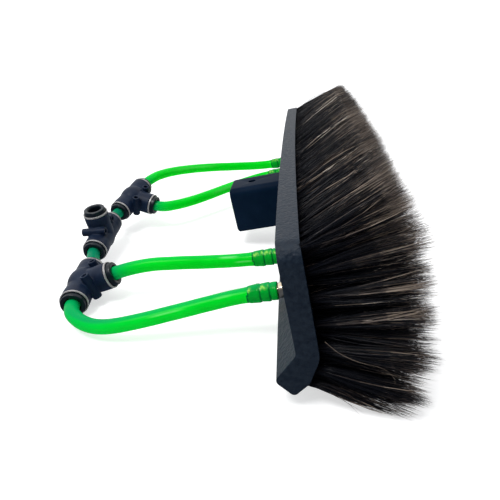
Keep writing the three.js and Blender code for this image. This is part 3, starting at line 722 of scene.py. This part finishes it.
def paint_shade_and_highlights(ob, X, along, highlight_streaks, barb, sides, seed, top_shade=0.35, painted_shade_all_over=0.0):
    """painted shade and painted highlights, kept as point attributes. shade attribute: how far each point takes the
    painted shade tone, from along (strongest beside the dark fittings), an even amount over the whole tube, and bands
    along its upper and lower sides;
    highlight attribute: painted pale streaks, and broken painted glints over the barb"""
    co = np.zeros(len(ob.data.vertices) * 3)
    ob.data.vertices.foreach_get("co", co)
    n = len(X)
    co = to_head(co.reshape(-1, 3)).reshape(2, n, sides, 3)
    nrm = co - X[None, :, None, :]
    nrm /= np.linalg.norm(nrm, axis=3)[..., None]
    up = nrm @ TOP_SIDE
    side = nrm[..., 2]
    # painted shade: the given along values, an even amount over the whole tube, a band along the upper side facing
    # TOP_SIDE and a weaker one along the lower side
    shade = np.broadcast_to(np.asarray(along, float)[None, :, None], up.shape).copy()
    shade += painted_shade_all_over + top_shade * np.clip((up - 0.34) / 0.42, 0, 1) + 0.4 * top_shade * np.clip((-up - 0.55) / 0.4, 0, 1)
    # painted highlights: pale streaks at the listed places along the tube
    painted_highlight = np.zeros_like(up)
    y = X[:, 1][None, :, None]
    for mid, half, level, width, amount in highlight_streaks:
        painted_highlight += amount * np.exp(-((y - mid) / half) ** 4) * np.exp(-((up - level) / width) ** 2)
    # painted glints: broken pale spots along the upper side of the tube over the barb
    if barb is not None:
        r = np.random.default_rng(seed)
        spots = r.uniform(0, 1, n)
        spots = np.convolve(spots, [0.25, 0.5, 0.25], "same")
        over = (X[:, 1] - barb > 9.0) & (X[:, 1] - barb < 22.5)
        level = 0.55 + 0.1 * np.sin(X[:, 1] * 2.1)
        painted_highlight += (over * np.clip((spots - 0.42) / 0.2, 0, 1) * 0.85)[None, :, None] * np.exp(-((up - level[None, :, None]) / 0.13) ** 2)
    for name, v in (("shade", shade), ("painted_highlight", painted_highlight)):
        at = ob.data.attributes.new(name, "FLOAT", "POINT")
        at.data.foreach_set("value", np.clip(v, 0, 1).ravel().astype(np.float32))


def make_tubes():
    for key, (tee, port, free) in ROUTES.items():
        at, d = port_axis(tee, port)
        x, b = JET_X[key], float(bow(JET_X[key]))
        pts = [at + d * s for s in (5.3, 9, 13, 17, 20, 22.6)] + [np.array(q) for q in free]
        pts += [np.array([x, y + b, JET_Z]) for y in (17, 13, 10, 7.6)]
        X, s = resample(catmull(pts, 8), 0.7)
        y = X[:, 1] - b
        near = np.abs(X[:, 0] - x) + np.abs(X[:, 2] - JET_Z) < 3
        # swollen over the barb, with a ridge at each barb edge and a soft shoulder
        grow = np.where(near, 0.70 / (1 + np.exp((y - 23.0) / 0.8)), 0.0)
        for c in (11.8, 16.9):
            q = y - c
            grow = grow + np.where(near, 0.30 * np.exp(-(np.where(q < 0, q / 0.35, q / 2.2)) ** 2), 0)
        for c in (11.1, 16.2, 23.2):
            grow = grow - np.where(near, 0.22 * np.exp(-((y - c) / 0.4) ** 2), 0)
        ro, ri = 4.0 + grow, 2.75 + grow * 0.92
        ro = np.minimum(ro, 5.1)
        # rounded lips
        ro[0] -= 0.15; ro[-1] -= 0.12
        ob = sweep(f"jet_tube_{key}_hose", X, ro, ri, 36, [M["tube"], M["tube_barb"], M["tube_line"]])
        # painted shade beside the tee, fading over the given length in mm; painted highlight streaks (centre y, half
        # length, side level, width, amount); per-tube painted shade along the upper side and over the whole tube
        shade_fade = {"right_outer": 24.0, "right_inner": 8.0}.get(key, 6.0)
        highlight_streaks = {"right_outer": [(66.0, 8.0, 0.22, 0.07, 0.5), (36.0, 4.0, 0.45, 0.08, 0.4)],
                   "right_inner": [(39.0, 5.0, 0.55, 0.10, 0.9), (30.0, 4.5, -0.25, 0.09, 0.5)],
                   "left_inner": [(60.0, 14.0, 0.2, 0.3, 0.22)], "left_outer": [(95.0, 16.0, 0.2, 0.3, 0.2)]}[key]
        paint_shade_and_highlights(ob, X, np.exp(-np.maximum(s - 16.5, 0) / shade_fade), highlight_streaks, b, 36, 7 + int(abs(x)), {"right_outer": 0.62, "right_inner": 0.44}.get(key, 0.24), {"right_outer": 0.12, "right_inner": 0.06}.get(key, 0.0))
        # over the barb the tube is painted darker, a painted shade standing in for the barb seen through the wall,
        # with a painted dark line at each barb edge
        mid = np.zeros(len(ob.data.polygons) * 3)
        ob.data.polygons.foreach_get("center", mid)
        mid = to_head(mid.reshape(-1, 3))
        my = mid[:, 1] - b
        on = np.abs(mid[:, 0] - x) + np.abs(mid[:, 2] - JET_Z) < 8
        which = np.where(on & (my < 22.8), 1, 0)
        for c in (11.2, 16.3, 22.8):
            which = np.where(on & (np.abs(my - c) < 0.36), 2, which)
        ob.data.polygons.foreach_set("material_index", which.astype(np.int32))
        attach(ob, "brush_head")
        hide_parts(f"jet_tube_{key}")
    for key, a, b in (("right", ("right_tee", "link"), ("inlet_tee", "right")), ("left", ("inlet_tee", "left"), ("left_tee", "link"))):
        pa, da = port_axis(*a)
        pb, db = port_axis(*b)
        pts = [pa + da * s for s in (5.3, 9, 13, 17, 21)] + [pb + db * s for s in (21, 17, 13, 9, 5.3)]
        X, s = resample(catmull(pts, 8), 0.8)
        ob = sweep(f"link_tube_{key}_hose", X, np.full(len(X), 4.0), np.full(len(X), 2.75), 36, [M["tube_link_painted_shade"]])
        # the link tubes take the painted shade tone at full strength all along
        paint_shade_and_highlights(ob, X, np.full(len(X), 1.0), [], None, 36, 3)
        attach(ob, "brush_head")
        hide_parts(f"link_tube_{key}")


make_tubes()


# ------------------------------------------------------------------ bristles
def make_bristles():
    rng = np.random.default_rng(41)
    # rows: (name, base (y, z) on the block's front, mean tip (y, z))
    rows = [
        ("upper", (-9.3, -2.6), (-48.5, 16.8)),
        ("upper", (-9.3, -8.2), (-52.6, 7.4)),
        ("upper", (-9.3, -13.8), (-54.3, -1.8)),
        ("middle", (-9.3, -19.6), (-55.2, -11.5)),
        ("middle", (-9.3, -25.4), (-55.8, -20.8)),
        ("middle", (-9.3, -31.2), (-56.2, -29.8)),
        ("middle", (-9.3, -37.0), (-56.4, -38.4)),
        ("middle", (-9.3, -42.8), (-56.2, -46.6)),
        ("lower", (-9.0, -48.8), (-55.2, -55.6)),
        ("lower", (-7.9, -53.9), (-53.4, -65.0)),
        ("lower", (-5.6, -58.5), (-50.8, -76.8)),
        ("lower", (-3.4, -62.3), (-45.4, -85.2)),
        ("lower", (-1.0, -65.2), (-26.4, -79.6)),
        ("lower", (1.2, -67.1), (-14.0, -73.6)),
    ]
    tips = np.array([r[2] for r in rows])
    bases = np.array([r[1] for r in rows])
    counts = [92, 90, 84, 76, 74, 74, 76, 80, 86, 92, 98, 108, 116, 96]
    pitch = 6.6
    xs = np.arange(-HX + 4.5, HX - 4.4, pitch)
    groups = {"upper": [], "middle": [], "lower": []}
    tuft_no = 0
    for ri, (group, base, tip) in enumerate(rows):
        shift = (ri % 2) * pitch / 2
        for x0 in xs + shift:
            if abs(x0) > HX - 3.6:
                continue
            n = int(counts[ri] * (1.7 if ri > 9 and x0 < -110 else 1.2))
            tuft_no += 1
            # a whole tuft leans a little its own way
            lean_x, lean_r = rng.normal(0, 1.3), rng.normal(0, 0.18)
            # its hairs lie in fine strands that part towards the tips; some lie free
            k = 22
            pick = rng.integers(0, k, n)
            free = rng.uniform(0, 1, n) < (0.22 if ri < 11 else 0.85)
            a, rr = rng.uniform(0, 2 * np.pi, n), 1.55 * np.sqrt(rng.uniform(0, 1, n))
            sa, sr = rng.uniform(0, 2 * np.pi, k), 1.4 * np.sqrt(rng.uniform(0, 1, k))
            mid_x = np.where(free, rr * np.cos(a), (sr * np.cos(sa))[pick])
            mid_s = np.where(free, rr * np.sin(a), (sr * np.sin(sa))[pick])
            bx = x0 + mid_x + rng.normal(0, 0.15, n) * ~free
            along = mid_s + rng.normal(0, 0.15, n) * ~free
            # direction of the surface at this row, for the tuft's foot
            nb = bases[min(ri + 1, len(rows) - 1)] - bases[max(ri - 1, 0)]
            nb = nb / np.linalg.norm(nb)
            by = base[0] + along * nb[0] + 0.6
            bz = base[1] + along * nb[1]
            clump_x, clump_q, clump_l = rng.normal(0, 2.1, k), rng.normal(0, 0.32, k), rng.normal(0, 0.034, k)
            q = np.clip(ri + lean_r + mid_s / 1.55 * 0.30 + clump_q[pick] + rng.normal(0, 1, n) * np.where(free, 0.16, 0.06), -0.3, len(rows) - 1 + 0.15)
            i0 = np.clip(np.floor(q).astype(int), 0, len(rows) - 2)
            fr = (q - i0)[:, None]
            tp = tips[i0] * (1 - fr) + tips[i0 + 1] * fr
            foot = np.stack([by, bz], 1)
            # trimmed to one surface: most end just short of it and few stand out
            ln = 1.036 - np.abs(clump_l[pick]) * 1.1 - np.abs(rng.normal(0, 0.026, n)) + rng.normal(0, 0.007, n)
            ln = ln - (rng.uniform(0, 1, n) < 0.13) * rng.uniform(0.04, 0.24, n) + (ri < 12) * (rng.uniform(0, 1, n) < 0.02) * rng.uniform(0.01, 0.04, n)
            tp = foot + (tp - foot) * ln[:, None]
            # cut a little longer towards the left end
            near = np.clip((-115 - x0) / 35, 0, 1)
            share = (1 - near) * np.interp(q, [0, 2, 7, 8], [1, 1, 0.2, 0]) + near * np.interp(q, [0, 1, 2, 4, 6, 8, 10, 12, 13], [-0.2, 0.0, 0.6, 0.35, 0.45, 0.45, 0.35, 0.05, 0.05])
            longer = share * np.interp(x0, [-176, -150, -120, -90, 0, 178], [3.2, 3.0, 2.2, 3.9, 6.0, 7.0])
            way = (tp - foot) / np.linalg.norm(tp - foot, axis=1)[:, None]
            tp = tp + way * longer[:, None]
            flare = (3.0 if x0 > 0 else 1.5) * np.sign(x0) * np.clip((abs(x0) - 140) / 38, 0, 1) ** 1.5
            tx = bx + mid_x * 1.2 + lean_x + clump_x[pick] + rng.normal(0, 1, n) * np.where(free, 0.95, 0.36) + flare
            tx = np.maximum(tx, -176.0 - np.abs(rng.normal(0, 0.8, n)))
            # straight hairs with a light bow, and a tip that wanders and frays
            loose = np.where(free, 1.0, 0.25)[:, None]
            sag = (rng.normal(0, 0.9, (k, 3))[pick] * (1 - free)[:, None] + rng.normal(0, 1.0, (n, 3)) * loose) * np.array([1.0, 0.5, 0.9])
            tipw = (rng.normal(0, 0.6, (k, 3))[pick] + rng.normal(0, 0.85, (n, 3)) * np.maximum(loose, 0.75)) * np.array([0.7, 0.3, 0.7])
            # lighter, browner tips in two places along the top
            zone = np.exp(-((x0 + 38) / 34) ** 2) * (q < 2.6) + np.exp(-((x0 + 134) / 17) ** 2) * ((q > 0.2) & (q < 4.4)) + 0.3 * np.exp(-((x0 - 120) / 45) ** 2) * (q < 1.2)
            F0 = np.stack([bx, by, bz], 1)
            F1 = np.stack([tx, tp[:, 0], tp[:, 1]], 1)
            tone = rng.uniform(0, 1, k)
            tone = np.where(tone < 0.93, np.clip(tone + rng.normal(-0.03, 0.11), 0, 0.925), tone)[pick]
            single = free | (rng.uniform(0, 1, n) < 0.2) | ((tone >= 0.93) & ((tone < 0.988) | (rng.uniform(0, 1, n) < 0.4)))
            groups[group].append((F0, F1, sag, tipw, np.where(single, rng.uniform(0, 1, n), tone), zone))
    names = []
    segs = 5
    sides = 3
    t = np.linspace(0, 1, segs + 1)
    ang = np.array([0, 2 * np.pi / 3, 4 * np.pi / 3])
    for group, parts in groups.items():
        F0 = np.concatenate([p[0] for p in parts]); F1 = np.concatenate([p[1] for p in parts])
        sag = np.concatenate([p[2] for p in parts]); tipw = np.concatenate([p[3] for p in parts])
        kind = np.concatenate([p[4] for p in parts]); zone = np.concatenate([p[5] for p in parts])
        n = len(F0)
        # about one hair in 70 is a long curved stray, and more at the near end
        stray = rng.uniform(0, 1, n) < 0.013 + 0.008 * (F0[:, 0] < -150)
        sag[stray] *= rng.uniform(2, 4.5, (stray.sum(), 1))
        tipw[stray] *= rng.uniform(2, 4, (stray.sum(), 1))
        L = np.linalg.norm(F1 - F0, axis=1)
        P = F0[:, None, :] + (F1 - F0)[:, None, :] * t[None, :, None]
        P = P + sag[:, None, :] * (np.sin(np.pi * t) * 1.0)[None, :, None] * (L / 48)[:, None, None]
        P = P + tipw[:, None, :] * (t ** 3)[None, :, None]
        # the field that the whole bristle block follows: bow, fan at the ends,
        # longer and lower towards the left end
        px, py, pz = P[:, :, 0].copy(), P[:, :, 1].copy(), P[:, :, 2].copy()
        far = np.clip((-py - 9.7) / 45, 0, 1.1)
        w = np.clip((px - 60) / 113, 0, 1)
        up = np.clip((pz + 40) / 50, 0, 1.15)
        P[:, :, 0] = px * (1 + 0.035 * far)
        P[:, :, 1] = py + bow(px) - FAR_REACH * 45 * far * (px + 173) / 346
        P[:, :, 2] = pz - FAR_DROP * far * up * w * w * (3 - 2 * w)
        # nothing goes through the floor: low tips bend and lie along it
        R = to_row(P.reshape(-1, 3)).reshape(P.shape)
        low = 0.0004 + rng.uniform(0, 0.0012, n)[:, None]
        R[:, :, 2] = np.maximum(R[:, :, 2], low)
        # the object's own box limits the longest strays
        over = CAD_BOX[1][2] + 0.0016
        R[:, :, 2] = np.where(R[:, :, 2] > over, over + 0.2 * (R[:, :, 2] - over), R[:, :, 2])
        lo = np.array(CAD_BOX[0]) - 0.0095
        hi = np.array(CAD_BOX[1]) + 0.0095
        R = np.clip(R, lo, hi)
        # the hairs of a strand mostly share one shade, which gives the streaks
        # upper rows get lighter, browner tips than the lower rows: partly the hair's own colour, partly painted light
        # on the lit top of the bristles
        tip_warmth_and_top_light = {"upper": 0.75, "middle": 0.55, "lower": 0.3}[group]
        # colours along the hair: black root, then browner; a few fair ones
        seg_c = np.zeros((n, segs), int)
        reach = rng.uniform(0, 1, n)
        for s in range(segs):
            u = (s + 0.5) / segs
            c = np.zeros(n, int)
            c[u > 0.38 - 0.10 * tip_warmth_and_top_light + 0.35 * reach] = 1
            c[u > 0.62 - 0.08 * tip_warmth_and_top_light - 0.10 * zone + 0.40 * reach] = 2
            c[u > 0.84 - 0.12 * tip_warmth_and_top_light - 0.22 * zone + 0.45 * reach] = 3
            c[u > 0.93 - 0.10 * tip_warmth_and_top_light - 0.20 * zone + 0.70 * reach] = 4
            seg_c[:, s] = c
        dark = kind < 0.46 - 0.2 * zone
        seg_c[dark] = np.maximum(seg_c[dark] - 1, 0)
        if group == "lower":
            kind = np.where(F0[:, 0] < -150, np.minimum(kind, 0.89), kind)
        blond = kind > 0.976
        for s in range(segs):
            seg_c[blond, s] = (3, 4, 5, 5, 5)[s]
        tan = (kind > 0.90 - 0.08 * tip_warmth_and_top_light - 0.16 * zone) & ~blond
        for s in range(segs):
            seg_c[tan, s] = (1, 2, 3, 4, 4)[s]
        rad = (0.092 + 0.055 * rng.uniform(0, 1, n)) * MM
        rad[blond] *= 1.75
        rad[tan] *= 1.3
        seg_c[stray] = np.minimum(seg_c[stray] + 1, 4)
        # strand frames
        D = R[:, -1] - R[:, 0]
        D /= np.linalg.norm(D, axis=1)[:, None]
        up = np.zeros_like(D); up[:, 0] = 1.0
        A = np.cross(D, up); A /= np.linalg.norm(A, axis=1)[:, None]
        Bv = np.cross(D, A)
        spin = rng.uniform(0, 2 * np.pi, n)
        taper = np.array([1.0, 1.0, 0.95, 0.85, 0.65])
        rings = []
        for s in range(segs):
            for a in ang:
                rings.append(R[:, s] + (np.cos(spin + a)[:, None] * A + np.sin(spin + a)[:, None] * Bv) * (rad * taper[s])[:, None])
        V = np.stack(rings + [R[:, -1]], 1)          # n x (segs*3+1) x 3
        nv = segs * 3 + 1
        tri, mat_seg = [(0, 2, 1)], [0]
        for s in range(segs - 1):
            for k in range(3):
                l = (k + 1) % 3
                tri += [(s * 3 + k, s * 3 + l, s * 3 + 3 + l), (s * 3 + k, s * 3 + 3 + l, s * 3 + 3 + k)]
                mat_seg += [s, s]
        for k in range(3):
            l = (k + 1) % 3
            tri.append(((segs - 1) * 3 + k, (segs - 1) * 3 + l, nv - 1))
            mat_seg.append(segs - 1)
        tri, mat_seg = np.array(tri), np.array(mat_seg)
        # pieces along x, each under the size that an STL keeps whole
        per = 6800
        order = np.argsort(F0[:, 0], kind="stable")
        chunks = np.array_split(order, int(np.ceil(n / per)))
        for ci, idx in enumerate(chunks):
            k = len(idx)
            verts = V[idx].reshape(-1, 3)
            faces = (tri[None, :, :] + (np.arange(k) * nv)[:, None, None]).reshape(-1, 3)
            fm = seg_c[idx][:, mat_seg].reshape(-1)
            name = f"bristle_hair_{group}_{ci + 1}"
            me = bpy.data.meshes.new(name)
            me.vertices.add(len(verts))
            me.vertices.foreach_set("co", verts.astype(np.float32).ravel())
            me.loops.add(len(faces) * 3)
            me.loops.foreach_set("vertex_index", faces.astype(np.int32).ravel())
            me.polygons.add(len(faces))
            me.polygons.foreach_set("loop_start", np.arange(0, len(faces) * 3, 3, dtype=np.int32))
            for mt in HAIR:
                me.materials.append(mt)
            me.polygons.foreach_set("material_index", fm.astype(np.int32))
            me.update(calc_edges=True)
            me.polygons.foreach_set("use_smooth", np.full(len(faces), True))
            ob = bpy.data.objects.new(name, me)
            scene.collection.objects.link(ob)
            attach(ob, "brush_head")
            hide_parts(f"bristles_{group}_rows")
            names.append((name, k))
    # a long loose hair that curls over the right-hand end: (y, z) points, shade, x
    loose = [
        ([(-12.5, -43.0), (-16.9, -49.1), (-22.0, -53.3), (-27.2, -56.0), (-32.6, -58.3), (-36.2, -61.8), (-37.9, -66.2), (-36.8, -70.3)], 4, -178.3),
    ]
    V, F, fm = [], [], []
    for hi, (points, shade, x_at) in enumerate(loose):
        pts = np.array([(x_at, y, z) for y, z in points])
        C, _ = resample(catmull(pts, 8), 1.2)
        C[:, 0] += 0.4 * np.sin(np.arange(len(C)) * 0.21 + hi)
        m = len(C)
        T = np.gradient(C, axis=0); T /= np.linalg.norm(T, axis=1)[:, None]
        A = np.cross(T, [1.0, 0, 0]); A /= np.linalg.norm(A, axis=1)[:, None]
        Bv = np.cross(T, A)
        r = 0.075 * np.minimum(1, (m - 1 - np.arange(m)) / 6 + 0.25)
        at = len(V)
        for i in range(m):
            for g in ang:
                V.append(C[i] + (math.cos(g) * A[i] + math.sin(g) * Bv[i]) * r[i])
        F.append((at, at + 2, at + 1)); fm.append(shade)
        for i in range(m - 1):
            for j in range(3):
                l = (j + 1) % 3
                F.append((at + i * 3 + j, at + i * 3 + l, at + i * 3 + 3 + l, at + i * 3 + 3 + j)); fm.append(shade)
        F.append((at + m * 3 - 3, at + m * 3 - 2, at + m * 3 - 1)); fm.append(shade)
    ob = outward(mesh_object("bristle_hair_loose", to_row(np.array(V)), F, HAIR, face_mats=fm))
    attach(ob, "brush_head")
    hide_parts("bristles_middle_rows")
    print("tufts", tuft_no, "hairs", sum(k for _, k in names), "pieces", len(names))


make_bristles()

# ------------------------------------------------------------------ floor, light
fl = mesh_object("floor", [(-12, -12, -0.0002), (12, -12, -0.0002), (12, 12, -0.0002), (-12, 12, -0.0002)], [(0, 1, 2, 3)], [new_material("floor_white", (0.60, 0.60, 0.60), 0.9, Specular_IOR_Level=0.1, Emission_Color=(1, 1, 1, 1), Emission_Strength=0.62)], smooth=False)
fl.visible_glossy = False
# a pale wall all round, far off, that only the camera sees
wall_v = [(11.5 * math.cos(a), 11.5 * math.sin(a), z) for z in (-0.5, 11.0) for a in np.linspace(0, 2 * np.pi, 96, endpoint=False)]
wall_f = [(i, (i + 1) % 96, 96 + (i + 1) % 96, 96 + i) for i in range(96)] + [tuple(96 + i for i in range(96))]
wall = mesh_object("backdrop", wall_v, wall_f, [new_material("backdrop_white", (0.9, 0.9, 0.9), 0.9, Specular_IOR_Level=0.0, Emission_Color=(1, 1, 1, 1), Emission_Strength=0.9)], smooth=False)
for ray in ("visible_diffuse", "visible_glossy", "visible_transmission", "visible_volume_scatter", "visible_shadow"):
    setattr(wall, ray, False)

scene.view_settings.view_transform = "Standard"

# a soft studio: bright overhead and beyond the left end, dark beyond the right end
world = bpy.data.worlds.new("studio")
scene.world = world
world.use_nodes = True
wn = world.node_tree
wtc = wn.nodes.new("ShaderNodeTexCoord")
dot = wn.nodes.new("ShaderNodeVectorMath")
dot.operation = "DOT_PRODUCT"
dot.inputs[1].default_value = (0.78, 0.15, 0.61)
wn.links.new(wtc.outputs["Generated"], dot.inputs[0])
ramp = wn.nodes.new("ShaderNodeValToRGB")
ramp.color_ramp.interpolation = "EASE"
ramp.color_ramp.elements[0].position, ramp.color_ramp.elements[1].position = 0.47, 0.87
ramp.color_ramp.elements[0].color = (0.10, 0.12, 0.16, 1)
ramp.color_ramp.elements[1].color = (1.22, 1.22, 1.22, 1)
half = wn.nodes.new("ShaderNodeMath")
half.operation = "MULTIPLY_ADD"
half.inputs[1].default_value = 0.5
half.inputs[2].default_value = 0.5
wn.links.new(dot.outputs["Value"], half.inputs[0])
wn.links.new(half.outputs["Value"], ramp.inputs["Fac"])
wn.links.new(ramp.outputs["Color"], wn.nodes["Background"].inputs["Color"])
wn.nodes["Background"].inputs["Strength"].default_value = 1.0


def area(name, at, aim, size, power, color=(1, 1, 1)):
    d = bpy.data.lights.new(name, "AREA")
    d.shape = "SQUARE"
    d.size = size
    d.energy = power
    d.color = color
    o = bpy.data.objects.new(name, d)
    scene.collection.objects.link(o)
    o.location = at
    v = Vector(aim) - Vector(at)
    o.rotation_euler = v.to_track_quat("-Z", "Y").to_euler()
    return o


area("key", (-0.50, 0.36, 1.10), (-0.02, 0.02, 0.04), 0.45, 10.5)
